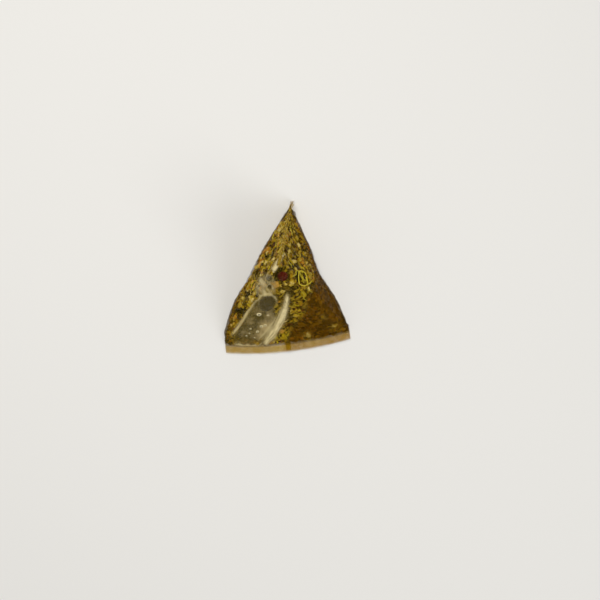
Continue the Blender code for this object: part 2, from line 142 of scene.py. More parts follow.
# The place on the section's rim after this share of its girth
def walkRound(share, wide, tall):
    walk = (share % 1.0) * 4 * (wide + tall)
    if walk <= tall:
        return -wide, walk
    walk -= tall
    if walk <= 2 * wide:
        return walk - wide, tall
    walk -= 2 * wide
    if walk <= 2 * tall:
        return wide, tall - walk
    walk -= 2 * tall
    if walk <= 2 * wide:
        return wide - walk, -tall
    return -wide, walk - 2 * wide - tall


# Where a point of the flat sheet lies once it is folded, or a point this deep under it
def foldPoint(share, along, depth=0.0):
    wide, tall = sectionAt(along)
    inside = within(along)
    opened = math.sin(math.pi * inside)
    x, y = walkRound(share, wide, tall)
    x, y = x / wide, y / tall
    square = bag["squareSealed"] + (bag["squareOpen"] - bag["squareSealed"]) * opened
    rounding = (abs(x) ** square + abs(y) ** square) ** (-1 / square)
    x, y = x * rounding, y * rounding
    swell = 1 + bag["swell"] * opened
    inset = depth / lean
    wideIn = max(wide * swell - inset, 0.0)
    tallIn = max(tall * swell - inset, 0.0)
    point = frontMiddle.lerp(backMiddle, inside) + x * wideIn * acrossWay + y * tallIn * uprightWay
    point += bag["bowLeft"] * (1 - x) * (1 - y) / 4 * math.sin(math.pi * inside**0.66) * outLeft
    point += bag["bowRight"] * (1 + x) * (1 - y) / 4 * opened * outRight
    point += bag["bowFront"] * (1 - x * x) * (1 - inside) ** 6 * outFront
    point.z += thin * lean * (1 - inside) - bag["settle"] * opened
    point.z = max(point.z, depth)
    if along < 0:
        point += -along * tubeLength * outFront
    if along > 1:
        point += (along - 1) * tubeLength * outBack
    return point


def outwardAt(share, along, depth=0.0):
    step = 0.004
    nearAlong = within(along, 0.01, 0.99)
    around = foldPoint(share + step, nearAlong, depth) - foldPoint(share - step, nearAlong, depth)
    ahead = foldPoint(share, nearAlong + step, depth) - foldPoint(share, nearAlong - step, depth)
    out = around.cross(ahead)
    if out.length < 1e-12:
        return Vector((0.0, 0.0, 1.0)), ahead
    out.normalize()
    if out.dot(foldPoint(share, nearAlong, depth) - heart) < 0:
        out = -out
    return out, ahead


# Where air, pale creases and soaked cloth show from above, in millimetres on the table
marks = {
    "facing": (-0.05, 0.25),  # how far a face has to look up to show a mark
    "windowEdge": (-0.2, 1.4),
    "window": [
        (-4.8, -6.7), (-10.0, -7.9), (-14.0, -11.5), (-17.2, -16.3), (-21.6, -23.5), (-21.6, -26.3),
        (-12.4, -26.3), (-9.2, -24.3), (-6.0, -20.3), (-4.2, -16.2), (-4.7, -13.2), (-5.0, -10.3),
        (-3.4, -7.6),
    ],
    # Pale gleams in the window: the place, how far each spreads and how bright it is
    "gleams": [
        (-8.6, -19.8, 2.3, 1.0), (-10.8, -23.4, 1.7, 0.8), (-7.2, -15.4, 1.5, 0.7),
        (-14.2, -17.6, 1.5, 0.35), (-17.6, -22.8, 1.6, 0.4),
    ],
    # Pale creases, cream folds whose brightness is partly a painted highlight: the line, half its width
    # and its brightness at the start, middle and end, and its lift
    "creases": [
        ([(0.4, -5.6), (-0.2, -9.0), (-0.8, -12.2), (-2.2, -15.8), (-4.2, -19.6), (-7.0, -23.4),
                  (-10.6, -28.0)],
         (0.70, 1.60, 2.00), (1.2, 1.4, 0.85), 0.9),
        ([(-4.8, -6.7), (-8.4, -7.1), (-12.0, -9.1), (-14.8, -12.7), (-16.8, -15.9),
                  (-19.6, -19.9), (-22.6, -24.0)],
         (0.45, 0.50, 0.85), (0.6, 0.65, 0.85), 0.55),
        ([(-1.6, 9.4), (-3.2, 6.4), (-4.4, 4.4), (-5.6, 1.6)],
         (0.45, 0.72, 0.50), (1.4, 1.8, 1.2), 0.6),
        ([(-3.0, 8.0), (-5.6, 4.6), (-7.4, 1.4), (-8.2, -1.6)],
         (0.28, 0.34, 0.30), (0.4, 0.6, 0.5), 0.3),
        ([(-6.0, -22.6), (-8.6, -25.2), (-12.4, -27.8)],
         (0.25, 0.30, 0.25), (0.5, 0.7, 0.6), 0.2),
        ([(-22.4, -26.4), (-17.0, -27.2), (-11.0, -27.8), (-6.0, -28.2)],
         (0.6, 1.0, 0.5), (0.6, 0.75, 0.4), 0.15),
        ([(-0.4, -14.0), (-2.0, -18.4), (-5.0, -22.8), (-9.0, -27.4)],
         (0.25, 0.38, 0.30), (0.5, 0.9, 0.8), 0.25),
        ([(-3.4, -13.4), (-5.2, -17.4), (-8.4, -21.6), (-12.0, -25.8)],
         (0.20, 0.32, 0.22), (0.4, 0.7, 0.5), 0.2),
    ],
    # Bubbles of air against the cloth, each painted darker inside as shade and with a painted highlight
    # on its rim: the middle, the radius and how far each lifts the cloth
    "bubbles": [(-8.0, -10.2, 3.6, 0.8), (-7.1, -0.4, 1.25, 0.3), (-6.9, -4.0, 0.95, 0.25)],
    "veil": {"centre": (-8.5, -3.8), "radii": (4.0, 4.6)},
    # Where one kind of scrap lies thick: the place, how far it spreads, its tone and the kinds
    "clusters": [
        (0.4, -4.7, 2.0, 0.12, "leaf", "grain"), (0.8, 20.2, 1.1, 0.35, "grain"),
        (-0.6, 25.6, 1.4, 0.15, "leaf", "grain"), (-2.6, 19.9, 1.3, 0.85, "root"),
        (-5.6, 13.2, 1.2, 0.6, "grain"), (-9.0, 11.8, 1.9, 0.45, "peel"),
        (-12.6, 4.6, 1.2, 0.85, "root"), (-13.8, -8.4, 1.4, 0.8, "root"),
        (-18.8, -12.6, 2.4, 0.10, "leaf"), (-23.2, -26.4, 1.7, 0.10, "leaf"),
        (-2.6, -25.9, 1.4, 0.55, "grain"), (-2.0, -22.0, 1.3, 0.55, "peel"),
        (4.6, 15.0, 1.7, 0.6, "root"), (2.6, 4.6, 1.6, 0.2, "leaf", "grain"),
        (7.6, -6.2, 2.2, 0.40, "thread", "petal"), (9.8, -3.4, 1.6, 0.45, "thread", "petal"),
        (8.4, -23.2, 1.3, 0.9, "root", "petal"), (18.8, -13.0, 1.3, 0.7, "grain"),
        (0.0, 10.8, 1.1, 0.3, "grain"), (-12.0, 1.6, 1.6, 0.12, "leaf", "grain"),
        (7.2, 11.3, 1.5, 0.15, "leaf"), (-15.6, -6.6, 1.3, 0.2, "leaf", "grain"),
        (-8.9, 5.9, 0.9, 0.9, "root"), (1.3, 12.8, 1.0, 0.75, "root"), (2.4, -2.4, 1.0, 0.8, "root"),
        (9.8, 4.6, 1.0, 0.8, "root"), (-4.6, 20.6, 1.2, 0.9, "petal"),
        (-4.2, -12.2, 1.2, 0.7, "petal", "thread"), (19.6, -20.2, 1.4, 0.8, "petal", "root"),
        (9.4, -26.4, 1.0, 0.9, "root"),
    ],
    # Places where the soaked cloth lies close on a pale scrap and lets it show
    "clearings": [
        (8.2, -23.6, 1.7), (9.4, -26.6, 1.1), (19.4, -20.2, 1.8), (14.6, -16.0, 1.2), (12.4, -25.6, 0.9),
    ],
    # The edge of the soaked cloth, which lies to its right: the y and the x of each point
    "waterline": [
        (-30.3, -2.4), (-19.9, 1.6), (-14.3, 6.8), (-9.5, 7.6), (-1.5, 11.2), (17.2, 5.4), (30.0, 4.0),
    ],
    "soakEdge": (-0.6, 1.6),
    "soakWander": 0.9,
    "footHeight": 7.0,
    "footSoak": 0.45,
}


# Where the camera sees a point against the table, in millimetres
def onTable(point):
    reach = eye.z / (eye.z - point.z)
    return (eye.x + (point.x - eye.x) * reach) * 1000, (eye.y + (point.y - eye.y) * reach) * 1000


# How far a place lies from a line, with its side as the sign, and how far along the line it is
def nearLine(x, y, line):
    best, place = 1e9, 0.0
    for i in range(len(line) - 1):
        (ax, ay), (bx, by) = line[i], line[i + 1]
        dx, dy = bx - ax, by - ay
        t = within(((x - ax) * dx + (y - ay) * dy) / (dx * dx + dy * dy))
        gap = math.hypot(x - ax - t * dx, y - ay - t * dy)
        if gap < abs(best):
            best = math.copysign(gap, dx * (y - ay) - dy * (x - ax))
            place = (i + t) / (len(line) - 1)
    return best, place


def insideBy(x, y, outline):
    inside = False
    for i in range(len(outline)):
        (ax, ay), (bx, by) = outline[i], outline[i - 1]
        if (ay > y) != (by > y) and x < (bx - ax) * (y - ay) / (by - ay) + ax:
            inside = not inside
    gap = abs(nearLine(x, y, outline + outline[:1])[0])
    return gap if inside else -gap


# The value at this place of a run with a start, a middle and an end
def between(values, place):
    start, middle, end = values
    if place < 0.5:
        return start + (middle - start) * 2 * place
    return middle + (end - middle) * (2 * place - 1)


def ease(value, low, high):
    t = within((value - low) / (high - low))
    return t * t * (3 - 2 * t)


# How soaked the cloth is at a place, from 0 to 1
def soakAt(x, y, point, facing, upward):
    side = marks["waterline"]
    edge = side[0][1]
    for (ay, ax), (by, bx) in zip(side, side[1:]):
        if ay <= y <= by:
            edge = ax + (bx - ax) * (y - ay) / (by - ay)
    if y > side[-1][0]:
        edge = side[-1][1]
    wander = marks["soakWander"] * noise.noise(Vector((x, y, 0.0)) * 0.45)
    soak = ease(x - edge + wander, *marks["soakEdge"])
    foot = ease(marks["footHeight"] - point.z * 1000, 0.0, marks["footHeight"])
    soak = max(soak, marks["footSoak"] * foot * ease(-x - 2, 0.0, 8.0))
    for clearX, clearY, spread in marks["clearings"]:
        soak *= 1 - 0.75 * math.exp(-((math.hypot(x - clearX, y - clearY) / spread) ** 2)) * facing
    return max(soak, ease(0.1 - upward, 0.0, 0.5))


# How much of each mark there is at a point of the bag, each from 0 to 1, and how far its creases lift
def marksAt(point, out):
    x, y = onTable(point)
    facing = ease(out.z, *marks["facing"])
    air = ease(insideBy(x, y, marks["window"]), *marks["windowEdge"]) * facing
    vx, vy = marks["veil"]["centre"]
    rx, ry = marks["veil"]["radii"]
    veil = ease(1.3 - math.hypot((x - vx) / rx, (y - vy) / ry), 0.0, 0.6) * facing
    veil *= 0.55 + 0.9 * max(0.0, cloud(x * 0.9 + y * 0.5, y * 0.25, 3.0) + 0.35)
    hollow, pale, lift = 0.0, 0.0, 0.0
    for middleX, middleY, radius, rise in marks["bubbles"]:
        offX, offY = x - middleX, y - middleY
        away = math.hypot(offX, offY) / radius
        if away > 2:
            continue
        away += 0.16 * noise.noise(Vector((x, y, 2.0)) * 0.33)
        # Painted shade inside each bubble, and a painted highlight on its rim that is brighter on its
        # upper side
        hollow = max(hollow, (1 - ease(away, 0.80, 1.06)) * facing)
        litSide = 0.12 + 0.88 * ease(offY / radius, -0.5, 0.9)
        rim = math.exp(-(((away - 1.03) / max(0.12, 0.25 / radius)) ** 2))
        pale = max(pale, 0.6 * litSide * facing * rim)
        if away < 1:
            lift += rise * math.sqrt(1 - max(away, 0.0) ** 2) * facing
    cloudy = 0.35 * noise.noise(Vector((x, y, 5.0)) * 0.28)
    sheen = 0.08 + cloudy + 0.3 * noise.noise(Vector((x, y, 9.0)) * 1.1)
    for gleamX, gleamY, spread, bright in marks["gleams"]:
        sheen += bright * math.exp(-((math.hypot(x - gleamX, y - gleamY) / spread) ** 2))
    sheen = within(sheen) * air * (1 - hollow)
    # The pale creases: cream folds, their brightness partly a painted highlight
    for number, (line, half, bright, rise) in enumerate(marks["creases"]):
        gap, place = nearLine(x, y, line)
        shape = math.exp(-((gap / between(half, place)) ** 2))
        shape *= ease(math.sin(math.pi * within(place, 0.02, 0.98)), 0.0, 0.35) * facing
        streaks = 0.80 + 0.50 * cloud(gap * 2.4, place * 6, number * 3.7)
        streaks += 0.30 * cloud(gap * 5.0, place * 11, number * 1.9)
        pale = max(pale, shape * between(bright, place) * streaks)
        lift += rise * shape
    veil *= 1 - hollow
    pale = min(pale, 1.0) * (1 - 0.85 * hollow)
    soak = soakAt(x, y, point, facing, out.z)
    return {"air": air, "veil": veil, "pale": pale, "soak": soak, "hollow": hollow, "sheen": sheen,
            "lift": lift}


def newMaterial(name):
    material = bpy.data.materials.new(name)
    material.use_nodes = True
    return material, material.node_tree, material.node_tree.nodes["Principled BSDF"]


# Gives a socket a number, a colour or another node's output
def feed(tree, socket, value):
    if isinstance(value, (int, float)):
        socket.default_value = value
    elif isinstance(value, tuple):
        socket.default_value = (*value, 1.0)
    else:
        tree.links.new(value, socket)


def setSockets(node, values):
    for name, value in values.items():
        node.inputs[name].default_value = value


def attributeOf(tree, name):
    node = tree.nodes.new("ShaderNodeAttribute")
    node.attribute_name = name
    return node.outputs["Fac"]


def mathOf(tree, operation, first, second, clamp=False):
    node = tree.nodes.new("ShaderNodeMath")
    node.operation = operation
    node.use_clamp = clamp
    feed(tree, node.inputs[0], first)
    feed(tree, node.inputs[1], second)
    return node.outputs[0]


def blendOf(tree, factor, first, second, mode="MIX", kind="RGBA"):
    node = tree.nodes.new("ShaderNodeMix")
    node.data_type = kind
    node.blend_type = mode
    used = {socket.name: socket for socket in node.inputs if socket.enabled}
    for name, value in (("Factor", factor), ("A", first), ("B", second)):
        feed(tree, used[name], value)
    return next(socket for socket in node.outputs if socket.enabled)


def valueMix(tree, factor, first, second):
    return blendOf(tree, factor, first, second, kind="FLOAT")


def rampOf(tree, factor, stops):
    node = tree.nodes.new("ShaderNodeValToRGB")
    elements = node.color_ramp.elements
    while len(elements) < len(stops):
        elements.new(0.5)
    for element, (position, colour) in zip(elements, stops):
        element.position = position
        element.color = (*colour, 1.0)
    tree.links.new(factor, node.inputs["Fac"])
    return node.outputs["Color"]


def noiseOf(tree, scale, detail, roughness=0.55):
    where = tree.nodes.new("ShaderNodeTexCoord")
    node = tree.nodes.new("ShaderNodeTexNoise")
    setSockets(node, {"Scale": scale, "Detail": detail, "Roughness": roughness})
    tree.links.new(where.outputs["Object"], node.inputs["Vector"])
    return node.outputs["Fac"]


def bumpOn(tree, shader, height, distance, strength=1.0):
    node = tree.nodes.new("ShaderNodeBump")
    setSockets(node, {"Distance": distance, "Strength": strength})
    tree.links.new(height, node.inputs["Height"])
    tree.links.new(node.outputs["Normal"], shader.inputs["Normal"])


weave = {
    "pitch": 0.00034,
    "threadShare": 0.42,
    "dryColour": (0.42, 0.30, 0.06),
    "wetColour": (0.20, 0.14, 0.015),
    "airColour": (0.122, 0.086, 0.012),
    "sheenColour": (0.52, 0.39, 0.165),
    # painted shade inside the bubbles
    "hollowColour": (0.094, 0.066, 0.010),
    # pale dry cloth, and painted highlights on the creases and the bubbles' rims
    "paleColour": (0.91, 0.76, 0.395),
    "seamColour": (0.66, 0.44, 0.040),
    "seamSoaked": (0.50, 0.28, 0.010),
    "teaColour": (0.115, 0.052, 0.0010),
    "wetTint": (1.0, 0.72, 0.22),
    "dryTint": (1.0, 0.86, 0.60),
    "crimpPitch": 0.0007,
    # How thick each film is, from clear at 0 to solid at 1
    "dryFilm": 0.035,
    "veilFilm": 0.30,
    "airFilm": 0.60,
    "paleFilm": 0.84,
    "soakedFilm": (0.10, 0.36),
    "finFilm": (0.04, 0.26),
    "threadCover": (0.045, 0.15),
    "roughness": (0.46, 0.16),
}
clothMarks = ("air", "veil", "pale", "soak", "sheen", "hollow", "seam")


def meshClothMaterial(name, gloss, tint):
    material, tree, shader = newMaterial(name)
    links = tree.links

    def times(first, second):
        return mathOf(tree, "MULTIPLY", first, second)

    def most(first, second):
        return mathOf(tree, "MAXIMUM", first, second)

    def smoked(least, smoke):
        return mathOf(tree, "ADD", times(smoky, smoke), least)

    uv = tree.nodes.new("ShaderNodeUVMap")
    uv.uv_map = "weave"
    split = tree.nodes.new("ShaderNodeSeparateXYZ")
    links.new(uv.outputs["UV"], split.inputs[0])
    threads = []
    for axis in ("X", "Y"):
        wave = mathOf(tree, "PINGPONG", times(split.outputs[axis], 1.0 / weave["pitch"]), 0.5)
        threads.append(mathOf(tree, "LESS_THAN", wave, weave["threadShare"] / 2))
    thread = most(*threads)
    air, veil, pale, soak, sheen, hollow, seam = [attributeOf(tree, mark) for mark in clothMarks]
    patchy, smoky = noiseOf(tree, 260.0, 4.0), noiseOf(tree, 420.0, 3.0)
    colour = blendOf(tree, times(patchy, 0.6), weave["wetColour"], weave["dryColour"])
    fin = blendOf(tree, soak, weave["seamColour"], weave["seamSoaked"])
    # Painted highlights (the sheen and the pale creases) and painted shade in the bubbles go into the
    # cloth's colour here
    for share, over in (
        (air, weave["airColour"]), (sheen, weave["sheenColour"]), (times(soak, 0.94), weave["teaColour"]),
        (times(seam, 0.92), fin), (hollow, weave["hollowColour"]),
        (most(pale, times(veil, 0.55)), weave["paleColour"]),
    ):
        colour = blendOf(tree, share, colour, over)
    links.new(colour, shader.inputs["Base Color"])
    film = mathOf(tree, "ADD", times(patchy, weave["dryFilm"]), times(veil, weave["veilFilm"]))
    for share, over in (
        (most(air, hollow), weave["airFilm"]), (soak, smoked(*weave["soakedFilm"])),
        (pale, weave["paleFilm"]), (times(seam, 0.94), smoked(*weave["finFilm"])),
    ):
        film = valueMix(tree, share, film, over)
    cover = times(thread, valueMix(tree, most(air, most(veil, seam)), *weave["threadCover"]))
    links.new(mathOf(tree, "ADD", film, cover, clamp=True), shader.inputs["Alpha"])
    rough = valueMix(tree, most(most(air, hollow), pale), *weave["roughness"])
    links.new(valueMix(tree, times(smoky, 0.25), rough, 0.6), shader.inputs["Roughness"])
    setSockets(shader, {"IOR": 1.36, "Specular IOR Level": gloss, "Specular Tint": (*tint, 1.0)})
    crimp = mathOf(tree, "PINGPONG", times(split.outputs["Y"], 1.0 / weave["crimpPitch"]), 0.5)
    relief = mathOf(tree, "ADD", times(thread, 0.35), times(crimp, times(seam, 4.0)))
    bumpOn(tree, shader, relief, 0.00008, 0.8)
    return material


wetCloth = meshClothMaterial("wetMeshCloth", 0.07, weave["wetTint"])
drainedCloth = meshClothMaterial("drainedMeshCloth", 0.24, weave["dryTint"])

# Each kind's colours from its darkest scrap to its palest
fragmentLook = {
    "leaf": [(0.0, (0.014, 0.010, 0.001)), (0.35, (0.066, 0.041, 0.002)), (0.7, (0.165, 0.100, 0.004)),
             (1.0, (0.38, 0.245, 0.016))],
    "root": [(0.0, (0.15, 0.070, 0.002)), (0.4, (0.32, 0.185, 0.005)), (0.75, (0.49, 0.325, 0.019)),
             (1.0, (0.78, 0.61, 0.20))],
    "petal": [(0.0, (0.20, 0.115, 0.002)), (0.5, (0.37, 0.235, 0.005)), (1.0, (0.62, 0.46, 0.02))],
    "stem": [(0.0, (0.11, 0.060, 0.002)), (0.5, (0.28, 0.175, 0.010)), (1.0, (0.48, 0.345, 0.022))],
    "grain": [(0.0, (0.016, 0.006, 0.001)), (0.45, (0.052, 0.018, 0.002)), (0.8, (0.12, 0.028, 0.004)),
              (1.0, (0.30, 0.11, 0.009))],
    "peel": [(0.0, (0.30, 0.105, 0.005)), (0.5, (0.50, 0.235, 0.018)), (1.0, (0.70, 0.41, 0.07))],
    "thread": [(0.0, (0.42, 0.30, 0.006)), (1.0, (0.78, 0.64, 0.05))],
    "hip": [(0.0, (0.026, 0.0005, 0.001)), (0.6, (0.085, 0.001, 0.004)), (1.0, (0.19, 0.003, 0.012))],
}


wetCut = {"grainScale": 900.0, "grain": 0.9, "bump": 0.00012, "rough": 0.40, "gloss": 0.04,
          "soakTint": (0.78, 0.50, 0.10)}


def cutMaterial(name, stops):
    material, tree, shader = newMaterial(name)
    mottled = noiseOf(tree, wetCut["grainScale"], 4.0, 0.6)
    grain = mathOf(tree, "MULTIPLY", mathOf(tree, "SUBTRACT", mottled, 0.5), wetCut["grain"])
    colour = rampOf(tree, mathOf(tree, "ADD", attributeOf(tree, "tone"), grain, clamp=True), stops)
    soaked = blendOf(tree, 1.0, colour, wetCut["soakTint"], "MULTIPLY")
    colour = blendOf(tree, attributeOf(tree, "soak"), colour, soaked)
    tree.links.new(colour, shader.inputs["Base Color"])
    setSockets(shader, {"Roughness": wetCut["rough"], "Specular IOR Level": wetCut["gloss"],
                        "Specular Tint": (*weave["wetTint"], 1.0)})
    bumpOn(tree, shader, mottled, wetCut["bump"])
    return material


cutMaterials = {kind: cutMaterial(kind + "Wet", stops) for kind, stops in fragmentLook.items()}
print("materials made")


def meshFrom(bm, name):
    mesh = bpy.data.meshes.new(name)
    bm.to_mesh(mesh)
    bm.free()
    return mesh


def finishObject(name, bm, material, angle=40):
    mesh = meshFrom(bm, name)
    mesh.shade_smooth()
    mesh.set_sharp_from_angle(angle=math.radians(angle))
    mesh.materials.append(material)
    piece = bpy.data.objects.new(name, mesh)
    scene.collection.objects.link(piece)
    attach(piece, "root")
    return piece


# The cloth: one flat sheet with its weave, folded and dressed with lumps, pleats and creases
cloth = {
    "around": 296,
    "along": 158,
    "lumpSize": 0.0023,
    "lump": 0.00034,
    "swellSize": 0.010,
    "swell": 0.00055,
    "pleat": 0.00050,
    "pleatCount": 15,
    "fleck": 0.00016,
    "sealReach": 0.07,  # share of the bag's length that the pleats of a seal run
    "cornerPleat": 0.0006,
    "cornerReach": 0.022,
    "cornerFade": 0.007,
    "cornerRays": 17,
    "sunkByAir": 0.00055,
    "airWaver": 0.00018,
    "lapRise": 0.00018,
    "frontWaver": 0.0009,
    "backWaver": 0.0008,
    "thickness": 0.00012,
    "clear": 0.00002,
}


def lumps(point):
    cells = noise.voronoi(point / cloth["lumpSize"], distance_metric="DISTANCE")[0]
    return max(0.0, 1 - cells[0] * 1.25)


def clothRelief(share, along, point, out, shown):
    air = max(shown["air"], shown["hollow"])
    touch = 1 - max(air, 0.6 * shown["veil"])
    sealed = min(max(along, 0.0), 1 - min(along, 1.0))
    free = ease(sealed, 0.0, cloth["sealReach"])
    height = cloth["lump"] * lumps(point) * touch * free
    height += cloth["swell"] * noise.noise(point / cloth["swellSize"]) * free * (1 - 0.5 * air)
    height += cloth["fleck"] * cloud(share * 90, along * 9, 0.0) * free
    sway = 3 * cloud(share * 9, 0.0, 4.0)
    ripple = math.sin(2 * math.pi * cloth["pleatCount"] * share * 2 + sway)
    height += cloth["pleat"] * ripple * math.exp(-((sealed / cloth["sealReach"]) ** 2)) * free * 1.6
    for corner in (leftEnd, rightEnd, farCorner, apex):
        gap = (point - corner).length
        if gap < cloth["cornerReach"]:
            spoke = point - corner
            ray = math.atan2(spoke.dot(uprightWay), spoke.dot(acrossWay) + 1e-9)
            fade = math.exp(-gap / cloth["cornerFade"])
            height += cloth["cornerPleat"] * math.sin(ray * cloth["cornerRays"]) * fade * free
    height -= cloth["sunkByAir"] * air
    height += cloth["airWaver"] * air * noise.noise(point / 0.0035)
    return height + shown["lift"] * 0.001


def makeCloth():
    bm = bmesh.new()
    flatSize = (girth + bag["lap"] / 2, tubeLength + 2 * bag["finWidth"], 1.0)
    bmesh.ops.create_grid(bm, x_segments=cloth["around"], y_segments=cloth["along"], size=0.5)
    bmesh.ops.scale(bm, vec=flatSize, verts=bm.verts)
    uv = bm.loops.layers.uv.new("weave")
    layers = {name: bm.verts.layers.float.new(name) for name in clothMarks}
    for face in bm.faces:
        for loop in face.loops:
            loop[uv].uv = loop.vert.co.xy
    for vert in bm.verts:
        flat = vert.co.copy()
        share = 0.25 + flat.x / girth
        along = (flat.y + tubeLength / 2) / tubeLength
        over = max(0.0, abs(flat.x) - girth / 2)
        point = foldPoint(share, along)
        out = outwardAt(share, along)[0]
        shown = marksAt(point, out)
        finned = max(-along, along - 1, 0.0) * tubeLength
        if finned:
            shown["seam"] = ease(finned, 0.0, 0.0004) * (0.3 if over else 1.0)
        else:
            shown["seam"] = 0.7 * (1 - ease(min(along, 1 - along), 0.0, 0.02))
        for name in clothMarks:
            vert[layers[name]] = shown[name] if finned == 0 or name in ("soak", "seam") else 0.0
        lowest = cloth["clear"] if out.z < -0.5 else cloth["clear"] + cloth["thickness"]
        if finned == 0:
            height = clothRelief(share, along, point, out, shown)
            point = point + out * height
        else:
            sway = finned / bag["finWidth"]
            ripple = cloud(share * 22, 0.0, 1.0 if along < 0 else 7.0)
            ripple += 0.5 * cloud(share * 60, 0.0, 2.0)
            if along < 0:
                point.z += cloth["frontWaver"] * sway * max(0.0, 0.35 + ripple)
            else:
                point += finSide * cloth["backWaver"] * sway * ripple
        if over > 0 and 0 <= along <= 1:
            point.z += cloth["lapRise"]
        point.z = max(point.z, lowest)
        vert.co = point
    bmesh.ops.recalc_face_normals(bm, faces=bm.faces)
    if sum(face.normal.dot(face.calc_center_median() - heart) for face in bm.faces) < 0:
        bmesh.ops.reverse_faces(bm, faces=bm.faces)
    surface = BVHTree.FromBMesh(bm)
    drained = [layers[name] for name in ("air", "hollow", "pale", "veil")]
    for face in bm.faces:
        marked = sum(max(vert[layer] for layer in drained) for vert in face.verts)
        face.material_index = int(marked > 4 * 0.3)
    piece = finishObject("meshCloth", bm, wetCloth, angle=180)
    piece.data.materials.append(drainedCloth)
    wall = piece.modifiers.new("clothWall", "SOLIDIFY")
    wall.thickness = cloth["thickness"]
    wall.offset = -1.0
    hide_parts("filter_bag")
    return surface


clothTree = makeCloth()
print("cloth folded")


# The blend: crumbs of each kind, scattered under the cloth
bed = {
    # The share of its own length that each of these cuts keeps free of crumbs above it
    "seenClearly": {"rosehip_shell_1": 0.46, "peel_cut_2": 0.42, "petal_curl_1": 0.40},
    "shallow": 0.0012,
    "behind": 0.55,  # the share of a cut's reach that deeper crumbs keep clear of
    "below": 0.0007,
    "clear": (0.36, 0.20, 0.42, 0.55),  # shares of a cut's or a crumb's length in the same test
    "ends": (0.015, 0.985),
    "top": 0.00042,
    "reachDown": 0.0016,
    "packing": 1.4,
    "thinPart": (0.45, 0.98),  # how deep in a thin part of the bag, as a share of its room
    "thinDepth": 0.0003,
    "tallest": 3.2,
    "smallest": 0.0006,
    "tones": (0.5, 0.24),
    "clusterTones": 0.08,
    "clusterTop": 0.0006,
    "clusterOthers": 0.15,  # the share of other kinds that stays in a cluster
    "pocketDepth": 0.0045,
    "pocket": (0.055, 0.34, 0.17),  # its half width, middle and half length, as shares of the bag
    "underCloth": 0.00018,
    "mostPushed": 0.0016,
    "airShown": 0.3,
    "emptied": 0.55,
    "scrapDeep": (0.0002, 0.25),
}


def pocketAt(share, along):
    wide, tall = sectionAt(along)
    ridge = tall / (4 * (wide + tall))
    off = (share - ridge + 0.5) % 1.0 - 0.5
    halfWide, middle, halfLong = bed["pocket"]
    beside, ahead = off / halfWide, (along - middle) / halfLong
    return bed["pocketDepth"] * math.exp(-(beside**2)) * math.exp(-(ahead**2))


def wholeOf(bm):
    return bm.verts[:] + bm.edges[:] + bm.faces[:]


def leafShape(seed):
    bm = bmesh.new()
    bmesh.ops.create_circle(bm, cap_ends=True, radius=0.5, segments=8)
    for i, vert in enumerate(bm.verts):
        vert.co *= 0.8 + 0.45 * cloud(seed * 3.1, i * 1.7, 0.4)
        vert.co.x *= 0.66
    bmesh.ops.bisect_plane(bm, geom=wholeOf(bm), plane_co=(0, 0, 0), plane_no=(0, 1, 0))
    bmesh.ops.solidify(bm, geom=bm.faces[:], thickness=0.07)
    for vert in bm.verts:
        vert.co.z -= 0.45 * vert.co.y**2 - 0.25 * abs(vert.co.x)
    return bm


def chipShape(seed):
    bm = bmesh.new()
    bmesh.ops.create_cube(bm, size=1.0)
    for i, vert in enumerate(bm.verts):
        vert.co.x *= 0.85 * (1 + 0.35 * cloud(seed, i * 2.1, 0.2))
        vert.co.y *= 1 + 0.3 * cloud(i * 1.3, seed, 0.9)
        vert.co.z *= 0.55
    bmesh.ops.bevel(bm, geom=bm.edges[:], offset=0.13, offset_type="OFFSET", segments=1, profile=0.5,
                    affect="EDGES", material=-1)
    return bm


def strapShape(seed):
    bm = bmesh.new()
    bmesh.ops.create_grid(bm, x_segments=1, y_segments=5, size=0.5)
    for vert in bm.verts:
        y = vert.co.y
        vert.co.x *= 0.26 * (1 - 1.6 * y * y)
        twist = (0.5 + 0.7 * cloud(seed * 5.7, 0.0, 0.0)) * y * 2
        x = vert.co.x
        vert.co.x, vert.co.z = x * math.cos(twist), x * math.sin(twist)
        vert.co.z -= (0.5 + 0.3 * (seed % 3)) * y * y
        vert.co.x += 0.3 * (seed % 2) * y * y
    bmesh.ops.solidify(bm, geom=bm.faces[:], thickness=0.035)
    return bm


def stalkShape(seed):
    bm = bmesh.new()
    lying = Matrix.Rotation(math.pi / 2, 4, "X")
    bmesh.ops.create_cone(bm, cap_ends=True, segments=6, radius1=0.075, radius2=0.055, depth=1.0,
                          matrix=lying)
    for place in (-0.2, 0.2):
        bmesh.ops.bisect_plane(bm, geom=wholeOf(bm), plane_co=(0, place, 0), plane_no=(0, 1, 0))
    for vert in bm.verts:
        vert.co.z -= 0.35 * vert.co.y**2
        vert.co.x += 0.25 * (seed % 3 - 1) * vert.co.y**2
    return bm


def grainShape(seed):
    bm = bmesh.new()
    bmesh.ops.create_icosphere(bm, subdivisions=1, radius=0.5)
    for i, vert in enumerate(bm.verts):
        vert.co *= 1 + 0.35 * cloud(seed * 2.3, i * 0.9, 0.1)
        vert.co.x *= 0.7
        vert.co.z *= 0.6
    return bm


def curlShape(seed):
    bm = bmesh.new()
    place = Matrix.Translation((0.42, 0.0, 0.0)) @ Matrix.Rotation(math.pi / 2, 4, "X")
    bmesh.ops.create_circle(bm, cap_ends=True, segments=5, radius=0.045, matrix=place)
    bmesh.ops.spin(
        bm, geom=wholeOf(bm), cent=(0, 0, 0), axis=(0, 0, 1),
        angle=math.radians(150 + 60 * (seed % 4)), steps=10, use_duplicate=False,
    )
    bmesh.ops.scale(bm, vec=(0.75, 1.0, 1.0), verts=bm.verts)
    bmesh.ops.recalc_face_normals(bm, faces=bm.faces)
    return bm


